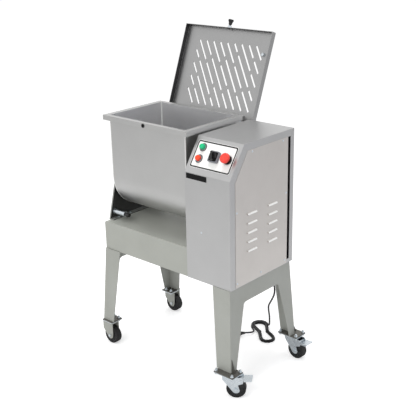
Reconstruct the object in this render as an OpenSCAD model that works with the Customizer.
// Meat mixer: a tilting trough with a slotted guard lid, beside a drive cabinet, on a wheeled stand.
// x runs from the trough end to the drive cabinet, y from the control panel to the back, z up.
// The sub-parts are drawn with x = 0 at the cabinet's trough side and y = 0 on the shaft's axis.

/* [Cabinet] */
// Width of the drive cabinet
cab_w = 224; // [190:1:260]
// Depth of the drive cabinet
cab_d = 394; // [370:1:430]
// Height of the drive cabinet
cab_h = 562; // [540:1:620]
// Height that the sloping panel climbs to the cabinet's top
slope_rise = 123; // [110:1:140]
// Depth of the sloping panel seen from above
slope_d = 84; // [78:1:95]
// Distance from the shaft's axis forward to the cabinet's front face
shaft_to_front = 196; // [185:1:205]
// Sheet thickness of the cabinet
cab_sheet = 2; // [1.5:0.5:2.5]

/* [Stand] */
// Height of the stand's top above the floor
stand_h = 446; // [400:1:500]
// Length of the table box beyond the trough's free end
end_room = 23; // [18:1:30]
// Height of the table box
table_h = 124; // [100:1:130]
// How much shallower the stand's top is than the cabinet
stand_short = 14; // [6:1:29]
// Sheet thickness of the table box
table_sheet = 2; // [1.5:0.5:3]
// Sheet thickness of the leg frames
leg_sheet = 3; // [2:0.5:4]
// Sideways lean of the legs over the leg height
splay_x_share = 0.053; // [0.03:0.001:0.07]
// Front-to-back lean of the legs over the leg height
splay_y_share = 0.0645; // [0.04:0.0005:0.08]

/* [Trough] */
// Outer radius of the trough's round bottom
tank_r = 152; // [145:1:156]
// Outer length of the trough
tank_l = 424; // [400:1:440]
// Gap between the cabinet and the trough
tank_gap = 33; // [30:1:40]
// Height of the shaft's axis above the floor
shaft_z = 765; // [755:1:780]
// Height of the trough's rim above the shaft's axis
rim_rise = 264; // [250:1:270]
// Overhang of the rim at the front and back
rim_side = 17; // [14:1:20]
// Overhang of the rim at the cabinet end
rim_right = 20; // [15:1:22]
// Overhang of the rim at the free end
rim_left = 23; // [20:1:25]
// Height of the rim's turned-down edge
rim_drop = 20.5; // [18:0.5:24]
// Sheet thickness of the trough
tank_sheet = 2; // [1.5:0.5:3]
// Radius of the mixing shaft
shaft_r = 15; // [12:0.5:16]

/* [Lid] */
// Opening angle of the lid at rest
lid_open = 111; // [95:1:115]
// Height of the lid's turned-down edges
lid_flange = 24; // [22:0.5:28]
// Width of a slot in the lid
slot_w = 8; // [6:0.5:10]

/* [Wheels] */
// Radius of a caster wheel
wheel_r = 39.5; // [36:0.5:42]
// Width of a caster wheel
wheel_w = 30; // [24:0.5:34]
// Height from the floor to the foot plates
caster_h = 104; // [100:0.5:112]
// Offset from a swivel axis back to its wheel axle
trail = 32; // [26:1:34]
// Direction of the front swivel caster
swivel_front = 33; // [-40:1:60]
// Direction of the rear swivel caster
swivel_rear = -3; // [-60:1:40]

/* [Cord] */
// Diameter of the power cord
cord_dia = 7.5; // [6:0.5:8]

/* [Hidden] */
$fn = 48;

// Cuts run past the faces that they go through by this much
over = 1;
// Legs are drawn longer than they are and cut off level by this much
trim = 4;
// Clearance between pieces that move past each other
gap = 0.3;
// Radial clearance of a running fit
fit = 0.05;

// Colours
steel_colour = "#b9bab8";
stand_colour = "#a9aba6";
zinc_colour = "#c9ccce";
black_colour = "#1d1d1f";
dark_colour = "#5b5d60";
red_colour = "#c8322b";
green_colour = "#3aa765";
brass_colour = "#b79a55";
label_colour = "#f2f3f1";

// Heights and faces
cab_top = stand_h + cab_h;
front_y = -shaft_to_front;
back_y = front_y + cab_d;
stand_d = cab_d - stand_short;
slope_foot = stand_h + cab_h - slope_rise;
slope_angle = atan(slope_rise / slope_d);
table_top = stand_h + table_h;

// Stand
leg_set_out = 2;
stand_front = front_y - leg_set_out;
stand_back = stand_front + stand_d;
stand_left = -tank_gap - tank_l - end_room;
stand_right_inset = 2;
stand_right = cab_w - stand_right_inset;
table_inset = 4;
table_front = stand_front + table_inset;
table_back = stand_back - table_inset;
table_corner_r = 10;
table_return = 22;
foot_plate_t = 4;
leg_foot = caster_h + foot_plate_t;
leg_drop = stand_h - leg_foot;
leg_front_top = 88;
left_flange_foot = 62;
right_flange_foot = 72;
leg_side_top = 76;
leg_side_foot = 35;
web_h = 72;
arch_r = 16;
leg_seat = 20;
foot_shift_x = splay_x_share * leg_drop;
foot_shift_y = splay_y_share * leg_drop;
foot_left = stand_left - foot_shift_x;
foot_right = stand_right + foot_shift_x;
foot_front = stand_front - foot_shift_y;
foot_back = stand_back + foot_shift_y;
splay_x_angle = atan(splay_x_share);
splay_y_angle = atan(splay_y_share);
gusset_h = 55;
gusset_in = 9;
gusset_out = 15;
gusset_back = 27;
gusset_x = 14;

// Wheels and axles
axle_r = 4;
axle_bore = axle_r + gap;
axle_head = 5;
axle_head_r = 7;
hub_r = 14;
hub_out = 1.2;
disc_in = 2;
tread_t = 6;
tread_round = 3.5;
cheek_t = 2.5;
wheel_room = 2;
cheek_gap = wheel_w / 2 + wheel_room;
top_plate_t = 3;
top_plate_z = caster_h - top_plate_t;
fork_top = top_plate_z;
fork_web = 3;

// Rigid casters under the left legs: the fork reaches further out than in from its axle
fork_left = 42;
fork_right = 18;
fork_knee = 26;
fork_tip_r = 16;
left_plate_l = fork_left + fork_right;
left_plate_w = 62;
left_wheel_in = 13;
left_back_in = 6;
left_back_out = 8;
left_front_x = foot_left + fork_left;
left_back_x = left_front_x - left_back_out;
left_wheel_front = foot_front + left_wheel_in;
left_wheel_back = foot_back - left_back_in;
left_plate_shift = left_plate_w / 2 - cheek_gap - cheek_t - axle_head / 2;
left_bolt_x = [-10, 20];
left_bolt_in = 10;
fork_outline = concat([[-fork_left, fork_top], [-fork_left, wheel_r + fork_knee]],
    arc(0, wheel_r, fork_tip_r, 205, 345, 8), [[fork_right, wheel_r + fork_knee / 2], [fork_right, fork_top]]);

// Swivel casters, drawn with the kingpin at the origin and the wheel trailing along x
plate_l = 96;
plate_w = 66;
kingpin_in_x = 17;
kingpin_in_y = 5;
kingpin_out_y = 3;
king_x = foot_right - kingpin_in_x;
king_front = foot_front + kingpin_in_y;
king_back = foot_back + kingpin_out_y;
kingpin_r = 5;
crown_z = caster_h - 14;
crown_t = 4;
crown_half = 22;
crown_drop = 8;
race_r = 21;
pedal_pin_x = 52;
pedal_pin_z = caster_h - 21;
pedal_pin_r = 3;
pedal_tip = 96;
pedal_half = 22;
pedal_t = 3;
pedal_rise = 4;
pedal_root = 6;
pedal_step = 10;
pedal_rib = 2;
pedal_rib_h = 6;
pedal_reach = pedal_pin_x + (pedal_tip - pedal_pin_x) * cos(pedal_rise) + pedal_t / 2 * sin(pedal_rise);
horn_in = 8;
horn_out = 28;
horn_z = 68;
swivel_outline = concat([[-crown_half, crown_z + crown_t], [-crown_half, crown_z - crown_drop]],
    arc(trail, wheel_r, fork_tip_r, 205, 345, 8), [[trail + horn_in, horn_z - crown_drop],
    [trail + horn_out, horn_z], [trail + horn_out, crown_z], [trail + crown_half, crown_z + crown_t]]);

// Bolts of the casters and the bracket
bolt_r = 4;
bolt_head_r = 7.2;
bolt_head_h = 5;
bolt_end = 6;
nut_h = 6;
right_bolt_in = 8;

// Bracket, trunnion and lock
bracket_t = 3;
bracket_foot_half = 168;
bracket_mid_half = 128;
bracket_mid_z = table_top + 155;
bracket_top_r = 58;
bracket_flange = 7;
bracket_shelf = 28;
bracket_x = stand_left;
bracket_bolt_places = [-130, -60, 60, 130];
bracket_bolt_x = bracket_x + 17;
trunnion_r = 22;
trunnion_disc_r = 46;
disc_t = 3;
shaft_seat = 14;
shaft_end_play = 2;
arm_t = 4;
arm_w = 26;
arm_boss_r = 28;
arm_clear = 3;
arm_x = stand_left - arm_clear - arm_t;
lock_y = -141;
lock_z = table_top + 31;
lock_pin_r = 6;
lock_body_r = 11;
lock_body_l = 72;
lock_hex_out = 2;
lock_hex_l = 8;
lock_knob_r = 10;
lock_knob_l = 24;
lock_angle = atan(-lock_y / (shaft_z - lock_z));
lock_reach = norm([lock_y, shaft_z - lock_z]);
trunnion_bush_r = 30;
trunnion_bush_flange = 37;
trunnion_bush_head = 4;

// Trough
tank_right = -tank_gap;
tank_left = tank_right - tank_l;
rim_z = shaft_z + rim_rise;
rim_half = tank_r + rim_side;
rim_x0 = tank_left - rim_left;
rim_x1 = tank_right + rim_right;
neck_r = 34;
neck_bore = 24;
neck_disc_r = 56;
neck_end = 12;
seal_l = 10;

// Lid and hinge, drawn closed
lid_sheet = 2;
lid_over = 6;
lid_x0 = rim_x0 - lid_over;
lid_x1 = rim_x1 + lid_over;
lid_w = lid_x1 - lid_x0;
lid_lift = 0.8;
lid_top = rim_z + lid_lift + lid_sheet;
lid_front_room = 4.7;
lid_front = -rim_half - lid_front_room;
hinge_back = 38;
hinge_y = rim_half + hinge_back;
hinge_drop = 15;
hinge_z = lid_top - lid_flange - hinge_drop;
lid_l = hinge_y - lid_front;
ear_t = 4;
ear_in = 60;
ear_r = 9;
pin_r = 5;
hinge_arm_t = 4;
hinge_places = [lid_x0 + ear_in, lid_x1 - ear_in - ear_t];
arm_top_w = 16;
arm_drop = 8;
arm_foot = 22;
arm_toe = 12;
arm_toe_drop = 8;
stop_reach = 34;
stop_depth = 12;
pad_side = 12;
pad_t = 3;
pin_end = 6;
slot_lean = atan(0.548 * lid_w / lid_l);
slot_left = 0.15 * lid_w;
slot_right = 0.912 * lid_w;
slot_top = 0.159 * lid_l;
slot_foot = 0.893 * lid_l;
slot_pitch = 0.0823 * lid_w;
slot_start = 0.0818 * lid_w;
slot_before = 4;
slot_land = 20;
// Middles of the lands on each slanted line of slots, as shares of the slotted field's depth
slot_shares = [[], [0.742], [0.545], [0.305, 0.849], [0.32, 0.682], [0.245, 0.757], [0.335, 0.679],
    [0.242, 0.758], [0.323, 0.683], [0.153, 0.653], [0.408], [0.214], []];
latch_x = lid_x0 + 0.504 * lid_w;
latch_z = lid_top - 0.583 * lid_flange;
latch_r = 4;
latch_tip = 6.5;
rim_hole_r = 7.5;
bush_r = 9;
bush_l = 8;
bush_stem_r = latch_r + 2;
knob_r = 12;
knob_foot = 13;
knob_end = 35;

// Drive
gear_module = 2;
wheel_teeth = 60;
pinion_teeth = 20;
gear_step = gear_module * (wheel_teeth + pinion_teeth) / 2;
idler_z = shaft_z - gear_step;
motor_z = idler_z - gear_step;
gear_b_x = 17;
gear_a_x = 34;
gear_b_w = 14;
gear_a_w = 16;
plate_x = 60;
plate_t = 6;
drive_plate_half = 100;
drive_plate_top = shaft_z + 60;
drive_foot = 30;
motor_r = 62;
motor_l = 125;
motor_flange_r = 74;
motor_flange_t = 8;
rotor_r = 9;
idler_r = 8;
base_t = 3;
bearing_out = 6;
shaft_end = plate_x + plate_t + bearing_out;
bearing_r = 26;
bearing_flange_out = 10;
neck_bush_t = 9;
neck_flange_out = 20;
neck_flange_t = 5;
idler_collar_r = 13;
axle_end = 4;
gear_step_in = 4;
rotor_in = 30;
rotor_room = 4;
half_tooth = 180 / pinion_teeth;
// A tooth's corners: across it in pitches, then in or out from the pitch circle in modules
tooth_shares = [[-0.313, -1.15], [-0.12, 0.92], [0.12, 0.92], [0.313, -1.15]];
paddle_count = 6;
paddle_end = 45;
paddle_reach = 138;
paddle_w = 34;
paddle_h = 42;
paddle_t = 5;
paddle_pitch = 30;
paddle_arm_r = 8;
paddle_hub_r = 22;
paddle_hub_half = 16;

// Cabinet panels
box_t = 48;
box_room = 6;
box_h = 140;
box_back = 40;
box_lift = 60;
box_front = gear_module * wheel_teeth / 2 + gear_module + box_room;
cover_t = 1.5;
cover_front = front_y + 0.0761 * cab_d;
cover_back = back_y - 0.104 * cab_d;
slit_back = back_y - 0.0584 * cab_d;
cover_foot = stand_h + 3;
cover_top = cab_top - 28;
cover_bend = slope_foot - 14;
frame_w = 14;
louvre_l = 0.1386 * cab_d;
louvre_r = 6;
louvre_pitch = 0.0669 * cab_h;
louvre_rows = 5;
louvre_foot = stand_h + 0.2367 * cab_h;
louvre_front = front_y + 0.25 * cab_d;
louvre_back = front_y + 0.5754 * cab_d;
screw_r = 4.5;
screw_h = 2;
// Screws of the side cover, as shares of the cabinet's depth and height
cover_screw_shares = [[0.33, 0.936], [0.812, 0.936], [0.873, 0.548], [0.096, 0.548], [0.096, 0.036],
    [0.467, 0.036], [0.863, 0.036]];
dome_screw_x = 80;
dome_screw_z = stand_h + 0.368 * cab_h;

// Controls on the sloping panel: x along it, then the distance up the slope
label_x0 = 18;
label_x1 = 201;
label_s0 = 27.5;
label_s1 = 129;
label_t = 0.8;
label_r = 8;
start_at = [46, 106];
stop_at = [46, 59.5];
selector_at = [117.5, 77];
estop_at = [180, 78];
control_places = [start_at, stop_at, selector_at, estop_at];
bezel_r = 15;
bezel_h = 4;
barrel_r = 11.8;
barrel_l = 26;
barrel_floor = 3;
cap_r = 10.5;
cap_h = 15;
cap_round = 1.5;
button_travel = 3;
selector_half = 22;
selector_corner = 5;
selector_h = 12;
selector_stem = 8;
dial_r = 17;
dial_h = 5;
dial_turn = 25;
grip_w = 8;
grip_h = 15;
collar_r = 18;
collar_h = 7;
estop_r = 20;
estop_lift = 17;
estop_h = 14;
estop_stem_r = 8;
estop_stem = 14;
plate_black_x0 = 8;
plate_black_x1 = 0.491 * cab_w;
plate_black_z0 = slope_foot - 25;
plate_black_h = 21;
plate_black_t = 1;

// Extents that set the origin
x_low = foot_left - left_back_out;
x_high = king_x + pedal_reach * cos(swivel_rear) + pedal_half * abs(sin(swivel_rear));
y_low = king_front - plate_w / 2;
lid_lean = lid_open - 90;
y_high = hinge_y + lid_l * sin(lid_lean) + (lid_flange + hinge_drop) * cos(lid_lean);
mid_x = (x_low + x_high) / 2;
mid_y = (y_low + y_high) / 2;

// Cord: the gland, the frame of the tied hank on the floor, and its counts and steps
gland_in = 37;
gland_at = [cab_w - gland_in, 113];
gland_r = 10;
gland_l = 26;
gland_nut = 5;
gland_nut_out = 3;
gland_wall = 2;
gland_thread = 6;
gland_z = stand_h - gland_l;
cord_r = cord_dia / 2;
hank_mid = gland_at + [-175, 168];
hank_turn = -36.3;
hank_run = 124;
hank_fold = 37.5;
hank_depth = 14;
hank_dip = 10;
turns_in = 1.5;
turns_out = 1.75;
layer_step = 8;
hank_steps = 24;
// The hanging run from the gland down to the hank: steps across from the gland, then the share of its height
cord_steps = [[0, 0, 1], [0, 0, 0.981], [-1, 6, 0.905], [-6, 24, 0.79], [-25, 48, 0.681], [-61, 78, 0.562],
    [-103, 113, 0.438], [-131, 149, 0.329], [-146, 174, 0.233], [-158, 192, 0.148], [-170, 207, 0.081],
    [-182, 219, 0.043]];
cord_route = [for (p = cord_steps) [gland_at[0] + p[0], gland_at[1] + p[1], gland_z * p[2]]];
plug_r = 17;
// Points of the short run from the hank to the plug, in the hank's own frame
lead_route = [[-30, -37.8, 4.8], [-13.5, -41.5, 7.6], [0, -51.5, 11.4], [7.4, -66, 15], [9, -82, plug_r]];
plug_l = 34;
plug_neck_l = 24;
plug_neck_r = 7;
plug_pin_l = 19;
plug_pin_r = 2.4;
plug_pin_half = 9.5;

function unit(v) = v / norm(v);
function arc(cx, cy, r, a0, a1, n) = [for (i = [0:n]) let (a = a0 + (a1 - a0) * i / n)
    [cx + r * cos(a), cy + r * sin(a)]];
function spline(p, i, t) =
    let (a = p[max(i - 1, 0)], b = p[i], c = p[i + 1], d = p[min(i + 2, len(p) - 1)])
    b + t * (c - a) / 2 + t * t * (a - 5 * b / 2 + 2 * c - d / 2) + t * t * t * (3 * b - a - 3 * c + d) / 2;
function smooth(p, n) = [for (i = [0:len(p) - 2], k = [0:n - 1]) spline(p, i, k / n), p[len(p) - 1]];
function along(p, i) = unit(p[min(i + 1, len(p) - 1)] - p[max(i - 1, 0)]);

// A round tube along points: each ring is square to the path, turned about one fixed direction
module tube(path, r, sides, ref) {
    n = len(path);
    pts = [for (i = [0:n - 1]) let (t = along(path, i), u = unit(cross(t, ref)), v = cross(t, u))
        for (k = [0:sides - 1]) path[i] + r * (u * cos(360 * k / sides) + v * sin(360 * k / sides))];
    quads = [for (i = [0:n - 2], k = [0:sides - 1]) let (a = i * sides + k, b = i * sides + (k + 1) % sides)
        each [[a, b, b + sides], [a, b + sides, a + sides]]];
    low = [for (k = [1:sides - 2]) [0, k + 1, k]];
    top = (n - 1) * sides;
    high = [for (k = [1:sides - 2]) [top, top + k, top + k + 1]];
    polyhedron(points = pts, faces = concat(quads, low, high));
}

// The hank's path in its own frame: turns drawn in at the middle, spiralling in on the upper layer
// and out again on the lower one
function hank_in(t) = t < turns_in ? hank_depth * t / turns_in
    : hank_depth * max(0, turns_in + turns_out - t) / turns_out;
function hank_z(t) = cord_r + layer_step * (1 - min(1, max(0, (t - turns_in + 0.25) * 2)));
function hank_xy(u, r) = let (q = floor(u * 4), v = u * 4 - q, s = hank_run / 2)
    q == 0 ? [s + r * cos(180 * v - 90), r * sin(180 * v - 90)]
    : q == 1 ? [s - hank_run * v, r - hank_dip * pow(sin(180 * v), 2)]
    : q == 2 ? [r * cos(180 * v + 90) - s, r * sin(180 * v + 90)]
    : [hank_run * v - s, hank_dip * pow(sin(180 * v), 2) - r];
function hank_point(t) = let (turn = t + 0.5, u = turn - floor(turn + 0.0001), p = hank_xy(max(u, 0), hank_fold - hank_in(t)))
    [p[0], p[1], hank_z(t)];
hank_turns = turns_in + turns_out;
hank_loops = [for (i = [0:hank_turns * hank_steps]) hank_point(i / hank_steps)];
// The ends run straight for one diameter
hank_start = hank_loops[0] + [cord_dia, 0, 0];
hank_end = hank_loops[len(hank_loops) - 1] + [cord_dia, 0, 0];
hank_path = concat([hank_start], hank_loops, [hank_end]);
hank_gap = min([for (i = [0:len(hank_path) - 1], j = [0:len(hank_path) - 1])
    if (j > i + 8) norm(hank_path[i] - hank_path[j])]) - cord_dia;
echo(hank_gap = hank_gap);
function path_l(p) = len(p) < 2 ? 0 : [for (i = [1:len(p) - 1]) norm(p[i] - p[i - 1])] * [for (i = [1:len(p) - 1]) 1];

// A point of the hank's frame in the part's frame
function from_hank(p) = [hank_mid[0] + p[0] * cos(hank_turn) - p[1] * sin(hank_turn),
    hank_mid[1] + p[0] * sin(hank_turn) + p[1] * cos(hank_turn), p[2]];
run_end = from_hank(hank_start);
run_before = from_hank(hank_start + [cord_dia, 0, 0]);
run_curve = smooth([for (i = [1:len(cord_route) - 1]) cord_route[i], run_before], 3);
run_path = concat([cord_route[0]], run_curve, [run_end]);
lead_before = hank_end + [cord_dia, 0, 0];
lead_last = lead_route[len(lead_route) - 1];
lead_path = concat([hank_end], smooth(concat([lead_before], lead_route), 3), [lead_last - [0, cord_dia, 0]]);
echo(run_length = path_l(run_path), hank_length = path_l(hank_path), lead_length = path_l(lead_path));
echo(run_hank_gap = min([for (i = [0:len(run_path) - 6], q = hank_path) norm(run_path[i] - from_hank(q))]) - cord_dia);

module place() {
    translate([-mid_x, -mid_y, 0]) children();
}

module on_slope() {
    translate([0, front_y, slope_foot]) rotate([slope_angle, 0, 0]) children();
}

module lid_pose() {
    translate([0, hinge_y, hinge_z]) rotate([-lid_open, 0, 0]) translate([0, -hinge_y, -hinge_z]) children();
}

module along_x(x, y, z, r, l) {
    translate([x, y, z]) rotate([0, 90, 0]) cylinder(h = l, r = r);
}

module along_y(x, y, z, r, l) {
    translate([x, y, z]) rotate([-90, 0, 0]) cylinder(h = l, r = r);
}

module block(x0, x1, y0, y1, z0, z1) {
    translate([x0, y0, z0]) cube([x1 - x0, y1 - y0, z1 - z0]);
}

// An outline in y and z given a thickness along x
module side_plate(x, t) {
    translate([x, 0, 0]) rotate([90, 0, 90]) linear_extrude(height = t) children();
}

// An outline in x and z given a thickness along y, from y forward
module front_plate(y, t) {
    translate([0, y, 0]) rotate([90, 0, 0]) linear_extrude(height = t) children();
}

module hex_bolt(l) {
    cylinder(h = bolt_head_h, r = bolt_head_r, $fn = 6);
    translate([0, 0, -l - nut_h]) cylinder(h = l + nut_h + bolt_head_h / 2, r = bolt_r);
    translate([0, 0, -l - nut_h]) cylinder(h = nut_h, r = bolt_head_r, $fn = 6);
}

module foot_bolt(l) {
    translate([0, 0, -l - bolt_head_h]) cylinder(h = bolt_head_h, r = bolt_head_r, $fn = 6);
    translate([0, 0, -l - bolt_head_h / 2]) cylinder(h = l + bolt_head_h / 2 + nut_h + bolt_end, r = bolt_r);
    cylinder(h = nut_h, r = bolt_head_r, $fn = 6);
}

// Stand

module table_profile(inset) {
    r = table_corner_r - inset;
    x0 = stand_left + inset;
    top = table_top - inset;
    polygon(concat([[x0, stand_h - over * (inset > 0 ? 1 : 0)]], arc(x0 + r, top - r, r, 180, 90, 6),
        [[-inset, top], [-inset, stand_h - over * (inset > 0 ? 1 : 0)]]));
}

module table_box() {
    color(steel_colour) place() {
        difference() {
            front_plate(table_back, table_back - table_front) table_profile(0);
            front_plate(table_back - table_sheet, table_back - table_front - 2 * table_sheet)
                table_profile(table_sheet);
            for (y = bracket_bolt_places)
                translate([bracket_bolt_x, y, table_top - table_sheet - over])
                    cylinder(h = table_sheet + 2 * over, r = bolt_r + gap);
        }
        difference() {
            block(stand_left, 0, table_front, table_back, stand_h, stand_h + table_sheet);
            block(stand_left + table_return, -table_return, table_front + table_return,
                table_back - table_return, stand_h - over, stand_h + table_sheet + over);
        }
    }
}

// The side of a leg frame: an arch between two legs that spread towards the floor
module arch_outline() {
    low = -leg_drop - trim;
    spread = splay_y_share * -low;
    in_front = stand_front + leg_side_top;
    in_back = stand_back - leg_side_top;
    foot_in_front = stand_front - spread + leg_side_foot;
    foot_in_back = stand_back + spread - leg_side_foot;
    polygon(concat([[stand_front, 0], [stand_back, 0], [stand_back + spread, low], [foot_in_back, low]],
        arc(in_back - arch_r, -web_h - arch_r, arch_r, 0, 90, 5),
        arc(in_front + arch_r, -web_h - arch_r, arch_r, 90, 180, 5),
        [[foot_in_front, low], [stand_front - spread, low]]));
}

module leg_flange(side, foot_w) {
    low = -leg_drop - trim;
    spread = splay_x_share * -low;
    polygon([[0, 0], [side * spread, low], [side * (spread - foot_w), low], [-side * leg_front_top, 0]]);
}

module end_frame(x, side, foot_w) {
    difference() {
        union() {
            translate([x, 0, stand_h]) rotate([0, -side * splay_x_angle, 0])
                translate([side > 0 ? -leg_sheet : 0, 0, 0]) rotate([90, 0, 90])
                    linear_extrude(height = leg_sheet) arch_outline();
            translate([x, stand_front, stand_h]) rotate([-splay_y_angle, 0, 0])
                translate([0, leg_sheet, 0]) rotate([90, 0, 0])
                    linear_extrude(height = leg_sheet) leg_flange(side, foot_w);
            translate([x, stand_back, stand_h]) rotate([splay_y_angle, 0, 0])
                rotate([90, 0, 0]) linear_extrude(height = leg_sheet) leg_flange(side, foot_w);
            block(min(x, x - side * leg_seat), max(x, x - side * leg_seat), stand_front, stand_back,
                stand_h - leg_sheet, stand_h);
        }
        block(foot_left - plate_l, foot_right + plate_l, foot_front - plate_l, foot_back + plate_l,
            leg_foot - 2 * trim, leg_foot);
        block(foot_left - plate_l, foot_right + plate_l, foot_front - plate_l, foot_back + plate_l,
            stand_h, stand_h + 2 * trim);
    }
}

module end_frame_left() {
    color(stand_colour) place() end_frame(stand_left, -1, left_flange_foot);
}

module end_frame_right() {
    color(stand_colour) place() end_frame(stand_right, 1, right_flange_foot);
}

module at_left_feet() {
    translate([left_front_x - fork_left + left_plate_l / 2, left_wheel_front + left_plate_shift, 0]) children();
    translate([left_back_x - fork_left + left_plate_l / 2, left_wheel_back - left_plate_shift, 0])
        mirror([0, 1, 0]) children();
}

module at_right_feet() {
    translate([king_x, king_front, 0]) children();
    translate([king_x, king_back, 0]) children();
}

// Places of a foot's bolts in the plate's own frame: two behind a rigid wheel, four round a swivel
left_bolt_places = [for (x = left_bolt_x) [x, left_plate_w / 2 - left_bolt_in, 0]];
right_bolt_places = [for (i = [-1, 1], j = [-1, 1])
    [i * (plate_l / 2 - right_bolt_in), j * (plate_w / 2 - right_bolt_in), 0]];

module foot_plate(l, w, bolts) {
    difference() {
        translate([-l / 2, -w / 2, caster_h]) cube([l, w, foot_plate_t]);
        for (p = bolts)
            translate(p + [0, 0, caster_h - over]) cylinder(h = foot_plate_t + 2 * over, r = bolt_r + gap);
    }
}

module foot_plates() {
    color(dark_colour) place() {
        at_left_feet() foot_plate(left_plate_l, left_plate_w, left_bolt_places);
        at_right_feet() foot_plate(plate_l, plate_w, right_bolt_places);
        translate([0, foot_front + gusset_in + leg_sheet, 0]) front_plate(0, leg_sheet)
            polygon([[foot_right, leg_foot], [foot_right + gusset_out, leg_foot],
                [foot_right - splay_x_share * gusset_h, leg_foot + gusset_h]]);
        side_plate(foot_right - gusset_x, leg_sheet)
            polygon([[foot_back, leg_foot], [foot_back + gusset_back, leg_foot],
                [foot_back - splay_y_share * gusset_h, leg_foot + gusset_h]]);
    }
}

module stand_bolts() {
    grip = foot_plate_t + top_plate_t;
    color(zinc_colour) place() {
        at_left_feet() for (p = left_bolt_places) translate(p + [0, 0, leg_foot]) foot_bolt(grip);
        at_right_feet() for (p = right_bolt_places) translate(p + [0, 0, leg_foot]) foot_bolt(grip);
        for (y = bracket_bolt_places)
            translate([bracket_bolt_x, y, table_top + bracket_t]) hex_bolt(bracket_t + table_sheet);
    }
}

module caster_top_plate(l, w, bolts, hole) {
    difference() {
        translate([-l / 2, -w / 2, top_plate_z]) cube([l, w, top_plate_t]);
        for (p = bolts)
            translate(p + [0, 0, top_plate_z - over]) cylinder(h = top_plate_t + 2 * over, r = bolt_r + gap);
        if (hole > 0)
            translate([0, 0, top_plate_z - over]) cylinder(h = top_plate_t + 2 * over, r = hole);
    }
}

module caster_top_plates() {
    color(zinc_colour) place() {
        at_left_feet() caster_top_plate(left_plate_l, left_plate_w, left_bolt_places, 0);
        at_right_feet() caster_top_plate(plate_l, plate_w, right_bolt_places, kingpin_r + fit);
    }
}

module cheek(y, t, outline_x, hole_x) {
    difference() {
        front_plate(y, t) polygon(outline_x);
        along_y(hole_x, y - t - over, wheel_r, axle_bore, t + 2 * over);
    }
}

module rigid_fork() {
    cheek(-cheek_gap, cheek_t, fork_outline, 0);
    cheek(cheek_gap + cheek_t, cheek_t, fork_outline, 0);
    translate([-fork_left, -cheek_gap - cheek_t, fork_top - fork_web])
        cube([fork_left + fork_right, 2 * (cheek_gap + cheek_t), fork_web]);
}

module at_left_wheels() {
    translate([left_front_x, left_wheel_front, 0]) children();
    translate([left_back_x, left_wheel_back, 0]) children();
}

module caster_forks_left() {
    color(stand_colour) place() at_left_wheels() rigid_fork();
}

module axle_bolt() {
    half = cheek_gap + cheek_t;
    along_y(0, -half - axle_head, wheel_r, axle_r, 2 * (half + axle_head));
    along_y(0, -half - axle_head, wheel_r, axle_head_r, axle_head, $fn = 6);
    along_y(0, half, wheel_r, axle_head_r, axle_head, $fn = 6);
}

module left_axle_bolts() {
    color(zinc_colour) place() at_left_wheels() axle_bolt();
}

module wheel_solid() {
    side = wheel_w / 2;
    translate([0, side, wheel_r]) rotate([90, 0, 0]) rotate_extrude($fn = 64)
        polygon([[axle_r + fit, -hub_out], [hub_r, -hub_out], [hub_r, disc_in], [wheel_r - tread_t, disc_in],
            [wheel_r - tread_t, 0], [wheel_r - tread_round, 0], [wheel_r, tread_round],
            [wheel_r, wheel_w - tread_round], [wheel_r - tread_round, wheel_w], [wheel_r - tread_t, wheel_w],
            [wheel_r - tread_t, wheel_w - disc_in], [hub_r, wheel_w - disc_in], [hub_r, wheel_w + hub_out],
            [axle_r + fit, wheel_w + hub_out]]);
}

module wheel_front_left() {
    color(black_colour) place() translate([left_front_x, left_wheel_front, 0]) wheel_solid();
}

module wheel_rear_left() {
    color(black_colour) place() translate([left_back_x, left_wheel_back, 0]) wheel_solid();
}

module front_swivel() {
    translate([king_x, king_front, 0]) rotate([0, 0, swivel_front]) children();
}

module rear_swivel() {
    translate([king_x, king_back, 0]) rotate([0, 0, swivel_rear]) children();
}

module swivel_cheek(y) {
    difference() {
        cheek(y, cheek_t, swivel_outline, trail);
        along_y(pedal_pin_x, y - cheek_t - over, pedal_pin_z, pedal_pin_r + gap, cheek_t + 2 * over);
    }
}

module swivel_fork() {
    swivel_cheek(-cheek_gap);
    swivel_cheek(cheek_gap + cheek_t);
    translate([-crown_half, -cheek_gap - cheek_t, crown_z])
        cube([2 * crown_half, 2 * (cheek_gap + cheek_t), crown_t]);
    translate([0, 0, crown_z]) cylinder(h = top_plate_z - crown_z - gap, r = race_r);
    translate([0, 0, crown_z]) cylinder(h = caster_h - crown_z - gap, r = kingpin_r);
}

module swivel_fork_front_right() {
    color(zinc_colour) place() front_swivel() swivel_fork();
}

module swivel_fork_rear_right() {
    color(zinc_colour) place() rear_swivel() swivel_fork();
}

module axle_front_right() {
    color(zinc_colour) place() front_swivel() translate([trail, 0, 0]) axle_bolt();
}

module axle_rear_right() {
    color(zinc_colour) place() rear_swivel() translate([trail, 0, 0]) axle_bolt();
}

module wheel_front_right() {
    color(black_colour) place() front_swivel() translate([trail, 0, 0]) wheel_solid();
}

module wheel_rear_right() {
    color(black_colour) place() rear_swivel() translate([trail, 0, 0]) wheel_solid();
}

module brake_pedal() {
    root = cheek_gap - gap;
    reach = pedal_tip - pedal_pin_x;
    along_y(pedal_pin_x, -cheek_gap - cheek_t, pedal_pin_z, pedal_pin_r, 2 * (cheek_gap + cheek_t));
    translate([pedal_pin_x, 0, pedal_pin_z]) rotate([0, -pedal_rise, 0]) {
        translate([-pedal_root, -root, -pedal_t / 2]) cube([pedal_root + pedal_step, 2 * root, pedal_t]);
        translate([pedal_step, -pedal_half, -pedal_t / 2]) cube([reach - pedal_step, 2 * pedal_half, pedal_t]);
        for (y = [-pedal_half, pedal_half - pedal_rib])
            translate([pedal_step, y, -pedal_rib_h]) cube([reach - pedal_step - pedal_rib, pedal_rib, pedal_rib_h]);
    }
}

module brake_pedal_front_right() {
    color(zinc_colour) place() front_swivel() brake_pedal();
}

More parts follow.
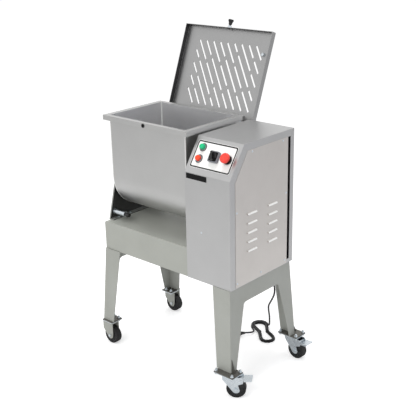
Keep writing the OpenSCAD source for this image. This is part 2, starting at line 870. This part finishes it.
module brake_pedal_rear_right() {
    color(zinc_colour) place() rear_swivel() brake_pedal();
}

// Bracket, bearing and tilt lock

module tilt_bracket() {
    foot_z = table_top;
    color(dark_colour) place() difference() {
        union() {
            side_plate(bracket_x, bracket_t) polygon(concat([[bracket_foot_half, foot_z]],
                [[bracket_mid_half, bracket_mid_z]], arc(0, shaft_z, bracket_top_r, 20, 160, 12),
                [[-bracket_mid_half, bracket_mid_z], [-bracket_foot_half, foot_z]]));
            for (side = [-1, 1]) side_plate(bracket_x, bracket_flange) polygon([
                [side * bracket_foot_half, foot_z], [side * bracket_mid_half, bracket_mid_z],
                [side * (bracket_mid_half - bracket_t), bracket_mid_z],
                [side * (bracket_foot_half - bracket_t), foot_z]]);
            block(bracket_x, bracket_x + bracket_shelf, -bracket_foot_half, bracket_foot_half,
                foot_z, foot_z + bracket_t);
        }
        along_x(bracket_x - over, 0, shaft_z, trunnion_bush_r, bracket_t + 2 * over);
        along_x(bracket_x - over, lock_y, lock_z, lock_pin_r + gap, bracket_t + 2 * over);
        for (y = bracket_bolt_places) translate([bracket_bolt_x, y, foot_z - over])
            cylinder(h = bracket_t + 2 * over, r = bolt_r + gap);
    }
}

module trunnion_bearing() {
    color(brass_colour) place() difference() {
        union() {
            along_x(bracket_x, 0, shaft_z, trunnion_bush_r, bracket_t);
            along_x(bracket_x + bracket_t, 0, shaft_z, trunnion_bush_flange, trunnion_bush_head);
        }
        along_x(bracket_x - over, 0, shaft_z, trunnion_r + fit, bracket_t + trunnion_bush_head + 2 * over);
    }
}

module lock_plunger_body() {
    x0 = bracket_x + bracket_t;
    color(zinc_colour) place() difference() {
        union() {
            along_x(x0, lock_y, lock_z, lock_body_r, lock_body_l);
            along_x(x0, lock_y, lock_z, lock_body_r + lock_hex_out, lock_hex_l, $fn = 6);
        }
        along_x(x0 - over, lock_y, lock_z, lock_pin_r + gap, lock_body_l + 2 * over);
    }
}

module lock_pin() {
    x0 = arm_x - over;
    knob_x = bracket_x + bracket_t + lock_body_l + gap;
    color(black_colour) place() {
        along_x(x0, lock_y, lock_z, lock_pin_r, knob_x - x0 + lock_knob_l / 2);
        translate([knob_x, lock_y, lock_z]) rotate([0, 90, 0]) rotate_extrude() polygon([[0, 0],
            [lock_knob_r * 0.75, 0], [lock_knob_r * 0.85, lock_knob_l * 0.35], [lock_knob_r, lock_knob_l * 0.7],
            [lock_knob_r * 0.8, lock_knob_l], [0, lock_knob_l]]);
    }
}

// Trough

module trough_outline(r, top) {
    polygon(concat(arc(0, shaft_z, r, 180, 360, 36), [[r, top], [-r, top]]));
}

module tank_shell() {
    color(steel_colour) place() difference() {
        union() {
            side_plate(tank_left, tank_l) trough_outline(tank_r, rim_z);
            difference() {
                block(rim_x0, rim_x1, -rim_half, rim_half, rim_z - rim_drop, rim_z);
                block(rim_x0 + tank_sheet, rim_x1 - tank_sheet, -rim_half + tank_sheet, rim_half - tank_sheet,
                    rim_z - rim_drop - over, rim_z - tank_sheet);
            }
        }
        side_plate(tank_left + tank_sheet, tank_l - 2 * tank_sheet)
            trough_outline(tank_r - tank_sheet, rim_z + over);
        along_x(tank_left - over, 0, shaft_z, shaft_r + gap, tank_l + 2 * over);
        along_y(latch_x, -rim_half - over, latch_z, rim_hole_r, tank_sheet + 2 * over);
    }
}

module tank_trunnion() {
    color(steel_colour) place() difference() {
        union() {
            along_x(tank_left - disc_t, 0, shaft_z, trunnion_disc_r, disc_t);
            along_x(arm_x + arm_t, 0, shaft_z, trunnion_r, tank_left - arm_x - arm_t);
        }
        along_x(tank_left - shaft_seat, 0, shaft_z, shaft_r + fit, shaft_seat + over);
    }
}

module lock_arm() {
    color(dark_colour) place() translate([arm_x, 0, shaft_z]) rotate([lock_angle, 0, 0]) {
        difference() {
            union() {
                along_x(0, 0, 0, arm_boss_r, arm_t);
                block(0, arm_t, -arm_w / 2, arm_w / 2, -lock_reach, 0);
                along_x(0, 0, -lock_reach, arm_w / 2, arm_t);
            }
            along_x(-over, 0, -lock_reach, lock_pin_r + gap, arm_t + 2 * over);
        }
    }
}

module tank_neck() {
    color(steel_colour) place() difference() {
        union() {
            along_x(tank_right, 0, shaft_z, neck_disc_r, disc_t);
            along_x(tank_right, 0, shaft_z, neck_r, neck_end - tank_right);
        }
        along_x(tank_right - over, 0, shaft_z, neck_bore, neck_end - tank_right + 2 * over);
    }
}

module neck_seal() {
    color(black_colour) place() difference() {
        along_x(tank_right, 0, shaft_z, neck_bore, seal_l);
        along_x(tank_right - over, 0, shaft_z, shaft_r + fit, seal_l + 2 * over);
    }
}

// An arm's outline behind the trough's rim: it carries the pin and stops the open lid
module hinge_arm_outline() {
    stop_dir = [sin(lid_open), cos(lid_open)];
    stop_face = [hinge_y, hinge_z] + [cos(lid_open), -sin(lid_open)] * gap;
    stop_end = stop_face + stop_dir * stop_reach;
    polygon(concat([[rim_half + arm_top_w, rim_z - arm_drop], [rim_half, rim_z - arm_drop],
        [rim_half, hinge_z - arm_foot], [rim_half + arm_toe, hinge_z - arm_foot - arm_toe_drop]],
        [stop_end - [0, stop_depth], stop_end, stop_face + stop_dir * ear_r],
        arc(hinge_y, hinge_z, ear_r, 90 - lid_open, 110, 8)));
}

module hinge_brackets() {
    color(steel_colour) place() for (x = [hinge_places[0] - hinge_arm_t - gap,
            hinge_places[1] + ear_t + gap]) {
        difference() {
            side_plate(x, hinge_arm_t) hinge_arm_outline();
            along_x(x - over, hinge_y, hinge_z, pin_r, hinge_arm_t + 2 * over);
        }
        block(x - pad_side, x + pad_side + hinge_arm_t, rim_half, rim_half + pad_t, rim_z - rim_drop,
            rim_z - tank_sheet);
    }
}

module hinge_pin() {
    x0 = hinge_places[0] - hinge_arm_t - pin_end;
    x1 = hinge_places[1] + ear_t + hinge_arm_t + pin_end;
    color(zinc_colour) place() along_x(x0, hinge_y, hinge_z, pin_r, x1 - x0);
}

// Lid

module slot(s0, s1) {
    rotate([0, 0, -slot_lean]) {
        translate([-slot_w / 2, s0 / cos(slot_lean), 0])
            cube([slot_w, (s1 - s0) / cos(slot_lean), lid_sheet + 2 * over]);
        for (s = [s0, s1]) translate([0, s / cos(slot_lean), 0])
            cylinder(h = lid_sheet + 2 * over, r = slot_w / 2, $fn = 20);
    }
}

// Slots of one slanted line: from its first depth to its last, split by lands
module slot_line(c, shares) {
    depth = slot_foot - slot_top;
    first = max(slot_top, (slot_left - c) / tan(slot_lean));
    last = min(slot_foot, (slot_right - c) / tan(slot_lean));
    lands = [for (k = shares) slot_top + k * depth];
    starts = concat([first + slot_w / 2], [for (l = lands) l + slot_land / 2]);
    ends = concat([for (l = lands) l - slot_land / 2], [last - slot_w / 2]);
    for (i = [0:len(starts) - 1]) if (ends[i] > starts[i]) translate([c, 0, 0]) slot(starts[i], ends[i]);
}

module lid() {
    plate_z = lid_top - lid_sheet;
    free_z = lid_top - lid_flange;
    color(steel_colour) place() lid_pose() difference() {
        union() {
            difference() {
                block(lid_x0, lid_x1, lid_front, hinge_y, free_z, lid_top);
                block(lid_x0 + lid_sheet, lid_x1 - lid_sheet, lid_front + lid_sheet, hinge_y - lid_sheet,
                    free_z - over, plate_z);
                translate([lid_x0, lid_front, plate_z - over])
                    for (k = [0:len(slot_shares) - 1])
                        slot_line(slot_start + (k - slot_before) * slot_pitch, slot_shares[k]);
            }
            for (x = hinge_places) {
                along_x(x, hinge_y, hinge_z, ear_r, ear_t);
                side_plate(x, ear_t) polygon([[hinge_y - ear_r, hinge_z],
                    [hinge_y + ear_r * 0.6, hinge_z + ear_r * 0.67], [hinge_y, free_z + ear_t],
                    [hinge_y, lid_top - lid_sheet / 2], [hinge_y - lid_flange, lid_top - lid_sheet / 2]]);
            }
        }
        along_x(lid_x0, hinge_y, hinge_z, pin_r + fit, lid_w);
        along_y(latch_x, lid_front - over, latch_z, bush_stem_r, lid_sheet + 2 * over);
    }
}

module latch_bush() {
    color(zinc_colour) place() lid_pose() difference() {
        union() {
            along_y(latch_x, lid_front - bush_l, latch_z, bush_r, bush_l, $fn = 6);
            along_y(latch_x, lid_front, latch_z, bush_stem_r, lid_sheet);
        }
        along_y(latch_x, lid_front - bush_l - over, latch_z, latch_r + fit, bush_l + lid_sheet + 2 * over);
    }
}

module latch_plunger() {
    knob_l = knob_end - knob_foot;
    root = knob_end - knob_l / 4;
    color(black_colour) place() lid_pose() {
        along_y(latch_x, lid_front - root, latch_z, latch_r, root + latch_tip);
        translate([latch_x, lid_front - knob_foot, latch_z]) rotate([90, 0, 0]) rotate_extrude()
            polygon([[0, 0], [knob_r * 0.58, 0], [knob_r * 0.67, knob_l * 0.4], [knob_r, knob_l * 0.8],
                [knob_r * 0.92, knob_l], [0, knob_l]]);
    }
}

// Mixing shaft and paddles

module mixing_shaft() {
    x0 = tank_left - shaft_seat + shaft_end_play;
    color(steel_colour) place() along_x(x0, 0, shaft_z, shaft_r, shaft_end - x0);
}

module paddle(turn) {
    difference() {
        union() {
            along_x(-paddle_hub_half, 0, 0, paddle_hub_r, 2 * paddle_hub_half);
            rotate([turn, 0, 0]) {
                cylinder(h = paddle_reach - paddle_h / 2, r = paddle_arm_r);
                translate([0, 0, paddle_reach - paddle_h]) rotate([0, 0, paddle_pitch])
                    translate([-paddle_w / 2, -paddle_t / 2, 0]) cube([paddle_w, paddle_t, paddle_h]);
            }
        }
        along_x(-paddle_hub_half - over, 0, 0, shaft_r, 2 * (paddle_hub_half + over));
    }
}

module paddles() {
    step = (tank_l - 2 * paddle_end) / (paddle_count - 1);
    color(steel_colour) place() for (i = [0:paddle_count - 1])
        translate([tank_left + paddle_end + i * step, 0, shaft_z]) paddle(i * 90);
}

// Gears: straight teeth on a pitch circle, with a little backlash

module gear_outline(teeth) {
    r = gear_module * teeth / 2;
    pitch = 360 / teeth;
    polygon([for (i = [0:teeth - 1], p = tooth_shares)
        let (a = (i + p[0]) * pitch, q = r + p[1] * gear_module) [q * cos(a), q * sin(a)]]);
}

module gear(x, z, w, teeth, phase) {
    translate([x, 0, z]) rotate([phase, 0, 0]) rotate([90, 0, 90]) linear_extrude(height = w) gear_outline(teeth);
}

module main_gear() {
    color(dark_colour) place() difference() {
        gear(gear_a_x, shaft_z, gear_a_w, wheel_teeth, 0);
        along_x(gear_a_x - over, 0, shaft_z, shaft_r, gear_a_w + 2 * over);
    }
}

module idler_gear() {
    color(dark_colour) place() difference() {
        union() {
            gear(gear_a_x - gear_step_in, idler_z, gear_a_w + gear_step_in, pinion_teeth, half_tooth);
            gear(gear_b_x, idler_z, gear_b_w, wheel_teeth, 0);
        }
        along_x(gear_b_x - over, 0, idler_z, idler_r + fit, gear_a_x + gear_a_w - gear_b_x + 2 * over);
    }
}

module idler_axle() {
    collar = gear_a_x + gear_a_w + gap;
    x0 = gear_b_x - axle_end;
    color(zinc_colour) place() {
        along_x(x0, 0, idler_z, idler_r, plate_x + plate_t - x0);
        along_x(collar, 0, idler_z, idler_collar_r, plate_x - collar);
    }
}

module motor_rotor() {
    color(dark_colour) place() {
        gear(gear_b_x, motor_z, gear_b_w, pinion_teeth, half_tooth);
        along_x(gear_b_x, 0, motor_z, rotor_r, plate_x + plate_t + motor_flange_t + rotor_in - gear_b_x);
    }
}

module motor_housing() {
    x0 = plate_x + plate_t;
    color(dark_colour) place() difference() {
        union() {
            along_x(x0, 0, motor_z, motor_flange_r, motor_flange_t);
            along_x(x0, 0, motor_z, motor_r, motor_l);
        }
        along_x(x0 - over, 0, motor_z, rotor_r + fit, motor_flange_t + rotor_in + axle_end + over);
    }
}

module drive_plate() {
    foot = stand_h + base_t;
    color(dark_colour) place() difference() {
        union() {
            block(plate_x, plate_x + plate_t, -drive_plate_half, drive_plate_half, foot, drive_plate_top);
            block(plate_x, plate_x + plate_t + drive_foot, -drive_plate_half, drive_plate_half,
                foot, foot + plate_t);
        }
        along_x(plate_x - over, 0, shaft_z, bearing_r, plate_t + 2 * over);
        along_x(plate_x - over, 0, idler_z, idler_r, plate_t + 2 * over);
        along_x(plate_x - over, 0, motor_z, rotor_r + rotor_room, plate_t + 2 * over);
    }
}

module neck_bearing() {
    inner = neck_r + fit;
    color(brass_colour) place() difference() {
        union() {
            along_x(-cab_sheet, 0, shaft_z, inner + neck_bush_t, neck_end + cab_sheet);
            along_x(cab_sheet, 0, shaft_z, inner + neck_flange_out, neck_flange_t);
        }
        along_x(-cab_sheet - over, 0, shaft_z, inner, neck_end + cab_sheet + 2 * over);
    }
}

module shaft_bearing() {
    x0 = plate_x - bearing_out;
    long = plate_t + 2 * bearing_out;
    color(zinc_colour) place() difference() {
        union() {
            along_x(x0, 0, shaft_z, bearing_r, long);
            along_x(x0, 0, shaft_z, bearing_r + bearing_flange_out, bearing_out);
        }
        along_x(x0 - over, 0, shaft_z, shaft_r + fit, long + 2 * over);
    }
}

module control_box() {
    color(black_colour) place() block(cab_sheet, cab_sheet + box_t, box_front, back_y - box_back,
        stand_h + box_lift, stand_h + box_lift + box_h);
}

// Cabinet

module cabinet_outline(inset) {
    top_shift = inset * tan(slope_angle / 2);
    front_shift = inset * tan((90 - slope_angle) / 2);
    polygon([[front_y + inset, stand_h], [back_y - cab_sheet, stand_h], [back_y - cab_sheet, cab_top - inset],
        [front_y + slope_d + top_shift, cab_top - inset], [front_y + inset, slope_foot - front_shift]]);
}

module cover_outline(inset) {
    shoulder = cover_front + (cover_top - cover_bend) * slope_d / slope_rise;
    polygon([[cover_front + inset, cover_foot + inset], [cover_back - inset, cover_foot + inset],
        [cover_back - inset, cover_top - inset], [shoulder + inset * tan(slope_angle / 2), cover_top - inset],
        [cover_front + inset, cover_bend - inset * tan((90 - slope_angle) / 2)]]);
}

module on_panel(at, z) {
    on_slope() translate([at[0], at[1], z]) children();
}

module cabinet_shell() {
    color(steel_colour) place() difference() {
        side_plate(0, cab_w) cabinet_outline(0);
        side_plate(cab_sheet, cab_w - 2 * cab_sheet) union() {
            cabinet_outline(cab_sheet);
            translate([back_y - 3 * cab_sheet, stand_h - over]) square([4 * cab_sheet, cab_h - cab_sheet + over]);
            translate([front_y + cab_sheet, stand_h - over]) square([cab_d - 3 * cab_sheet, 2 * over]);
        }
        side_plate(cab_w - cab_sheet - over, cab_sheet + 2 * over) {
            cover_outline(frame_w);
            polygon([[cover_back - frame_w - over, cover_foot + frame_w], [slit_back, cover_foot + frame_w],
                [slit_back, cover_top], [cover_back - frame_w - over, cover_top]]);
            polygon([[slit_back - gap, stand_h - over], [back_y, stand_h - over], [back_y, cab_top - cab_sheet],
                [slit_back - gap, cover_top]]);
        }
        along_x(-over, 0, shaft_z, neck_r + fit + neck_bush_t, cab_sheet + 2 * over);
        for (at = control_places) on_panel(at, -barrel_l) cylinder(h = 2 * barrel_l, r = barrel_r + gap);
    }
}

module cabinet_base() {
    color(steel_colour) place() difference() {
        block(cab_sheet, cab_w - cab_sheet, front_y + cab_sheet, back_y - cab_sheet, stand_h, stand_h + base_t);
        translate([gland_at[0], gland_at[1], stand_h - over]) cylinder(h = base_t + 2 * over, r = gland_r);
    }
}

module louvre(y, z) {
    translate([cab_w + cover_t, y, z]) intersection() {
        difference() {
            along_y(0, 0, 0, louvre_r, louvre_l);
            along_y(0, cover_t, 0, louvre_r - cover_t, louvre_l - 2 * cover_t);
        }
        translate([-over, 0, 0]) cube([louvre_r + over, louvre_l, louvre_r]);
    }
}

module side_cover() {
    color(steel_colour) place() {
        difference() {
            side_plate(cab_w, cover_t) cover_outline(0);
            for (i = [0:louvre_rows - 1], y = [louvre_front, louvre_back])
                block(cab_w - over, cab_w + cover_t + over, y + cover_t, y + louvre_l - cover_t,
                    louvre_foot + i * louvre_pitch, louvre_foot + i * louvre_pitch + louvre_r - cover_t);
        }
        for (i = [0:louvre_rows - 1], y = [louvre_front, louvre_back])
            louvre(y, louvre_foot + i * louvre_pitch);
    }
}

module back_panel() {
    color(steel_colour) place() {
        block(0, cab_w, back_y - cab_sheet, back_y, stand_h, cab_top);
        side_plate(cab_w - cab_sheet, cab_sheet) polygon([[slit_back, stand_h + gap],
            [back_y - cab_sheet / 2, stand_h + gap], [back_y - cab_sheet / 2, cab_top - 2 * (cab_sheet + gap)],
            [slit_back, cover_top - gap]]);
    }
}

module screw_head() {
    rotate_extrude($fn = 24) polygon([[0, 0], [screw_r, 0], [screw_r * 0.9, screw_h * 0.6],
        [screw_r * 0.5, screw_h], [0, screw_h]]);
}

module cover_screws() {
    color(zinc_colour) place() {
        for (p = cover_screw_shares)
            translate([cab_w + cover_t, front_y + p[0] * cab_d, stand_h + p[1] * cab_h]) rotate([0, 90, 0])
                screw_head();
        translate([dome_screw_x, front_y, dome_screw_z]) rotate([90, 0, 0]) screw_head();
    }
}

// Controls

module rounded_slab(x0, x1, y0, y1, r, h) {
    for (x = [x0 + r, x1 - r], y = [y0 + r, y1 - r]) translate([x, y, 0]) cylinder(h = h, r = r);
    translate([x0 + r, y0, 0]) cube([x1 - x0 - 2 * r, y1 - y0, h]);
    translate([x0, y0 + r, 0]) cube([x1 - x0, y1 - y0 - 2 * r, h]);
}

module control_label() {
    color(label_colour) place() difference() {
        on_slope() rounded_slab(label_x0, label_x1, label_s0, label_s1, label_r, label_t);
        for (at = control_places) on_panel(at, -over) cylinder(h = 4 * over, r = barrel_r + gap);
    }
}

module blank_plate() {
    color(black_colour) place()
        block(plate_black_x0, plate_black_x1, front_y - plate_black_t, front_y, plate_black_z0,
            plate_black_z0 + plate_black_h);
}

module bezel() {
    difference() {
        union() {
            translate([0, 0, label_t]) cylinder(h = bezel_h, r = bezel_r);
            translate([0, 0, -barrel_l]) cylinder(h = barrel_l + label_t + bezel_h / 2, r = barrel_r);
        }
        translate([0, 0, -barrel_l + barrel_floor])
            cylinder(h = barrel_l + bezel_h + over, r = cap_r + gap);
    }
}

module selector_base() {
    difference() {
        union() {
            translate([0, 0, label_t]) rounded_slab(-selector_half, selector_half, -selector_half, selector_half,
                selector_corner, selector_h);
            translate([0, 0, -barrel_l]) cylinder(h = barrel_l + label_t + selector_h / 2, r = barrel_r);
        }
        translate([0, 0, -barrel_l + barrel_floor])
            cylinder(h = barrel_l + selector_h + over, r = cap_r + gap);
    }
}

module control_bezels() {
    color(zinc_colour) place() {
        for (at = [start_at, stop_at]) on_panel(at, 0) bezel();
        on_panel(selector_at, 0) selector_base();
    }
}

module button_cap() {
    low = -barrel_l + barrel_floor + button_travel + gap;
    translate([0, 0, low]) rotate_extrude() polygon([[0, 0], [cap_r, 0], [cap_r, cap_h - cap_round - low],
        [cap_r - cap_round, cap_h - low], [0, cap_h - low]]);
}

module start_button() {
    color(green_colour) place() on_panel(start_at, 0) button_cap();
}

module stop_button() {
    color(red_colour) place() on_panel(stop_at, 0) button_cap();
}

module selector_knob() {
    z0 = label_t + selector_h + gap;
    color(dark_colour) place() on_panel(selector_at, 0) {
        translate([0, 0, z0]) cylinder(h = dial_h, r = dial_r);
        translate([0, 0, -selector_stem]) cylinder(h = z0 + selector_stem + dial_h / 2, r = cap_r);
        rotate([0, 0, dial_turn]) translate([-grip_w / 2, -dial_r, z0]) cube([grip_w, 2 * dial_r, grip_h]);
    }
}

module estop_base() {
    color(black_colour) place() on_panel(estop_at, 0) difference() {
        union() {
            translate([0, 0, label_t]) cylinder(h = collar_h, r = collar_r);
            translate([0, 0, -barrel_l]) cylinder(h = barrel_l + label_t + collar_h / 2, r = barrel_r);
        }
        translate([0, 0, -barrel_l + barrel_floor])
            cylinder(h = barrel_l + collar_h + over, r = estop_stem_r + gap);
    }
}

module estop_head() {
    top = estop_lift + estop_h;
    color(red_colour) place() on_panel(estop_at, 0) rotate_extrude() polygon([[0, -estop_stem],
        [estop_stem_r, -estop_stem], [estop_stem_r, estop_lift - estop_h * 0.2],
        [estop_r * 0.8, estop_lift - estop_h * 0.07], [estop_r, estop_lift + estop_h * 0.2],
        [estop_r * 0.95, top - estop_h * 0.3], [estop_r * 0.7, top - estop_h * 0.07], [0, top]]);
}

// Cord

module cable_gland() {
    color(black_colour) place() translate([gland_at[0], gland_at[1], stand_h]) {
        translate([0, 0, -gland_l]) cylinder(h = gland_l - gland_nut, r1 = cord_r + gland_wall, r2 = gland_r);
        translate([0, 0, -gland_nut]) cylinder(h = gland_nut, r = gland_r + gland_nut_out, $fn = 6);
        translate([0, 0, -over]) cylinder(h = base_t + gland_thread, r = gland_r - fit);
    }
}

module hank_frame() {
    translate([hank_mid[0], hank_mid[1], 0]) rotate([0, 0, hank_turn]) children();
}

module power_cord() {
    color(black_colour) place() {
        tube(run_path, cord_r, 8, [0.74, 0.67, 0]);
        hank_frame() tube(lead_path, cord_r, 8, [0, 0, 1]);
    }
}

module cord_hank() {
    color(black_colour) place() hank_frame() tube(hank_path, cord_r, 6, [0, 0, 1]);
}

module plug() {
    end = lead_path[len(lead_path) - 1];
    color(black_colour) place() hank_frame() translate(end) rotate([90, 0, 0]) {
        cylinder(h = plug_neck_l + over, r1 = cord_r + gland_wall, r2 = plug_neck_r);
        translate([0, 0, plug_neck_l]) cylinder(h = plug_l, r = plug_r);
        for (side = [-1, 1]) translate([side * plug_pin_half, 0, plug_neck_l + plug_l - over])
            cylinder(h = plug_pin_l + over, r = plug_pin_r);
    }
}

table_box();
end_frame_left();
end_frame_right();
foot_plates();
stand_bolts();
caster_top_plates();
caster_forks_left();
left_axle_bolts();
wheel_front_left();
wheel_rear_left();
swivel_fork_front_right();
swivel_fork_rear_right();
axle_front_right();
axle_rear_right();
wheel_front_right();
wheel_rear_right();
brake_pedal_front_right();
brake_pedal_rear_right();
tilt_bracket();
trunnion_bearing();
lock_plunger_body();
lock_pin();
tank_shell();
tank_trunnion();
lock_arm();
tank_neck();
neck_seal();
hinge_brackets();
hinge_pin();
mixing_shaft();
paddles();
main_gear();
idler_gear();
idler_axle();
motor_rotor();
motor_housing();
drive_plate();
neck_bearing();
shaft_bearing();
control_box();
cabinet_shell();
cabinet_base();
side_cover();
back_panel();
cover_screws();
control_label();
blank_plate();
control_bezels();
start_button();
stop_button();
selector_knob();
estop_base();
estop_head();
lid();
latch_bush();
latch_plunger();
cable_gland();
power_cord();
cord_hank();
plug();
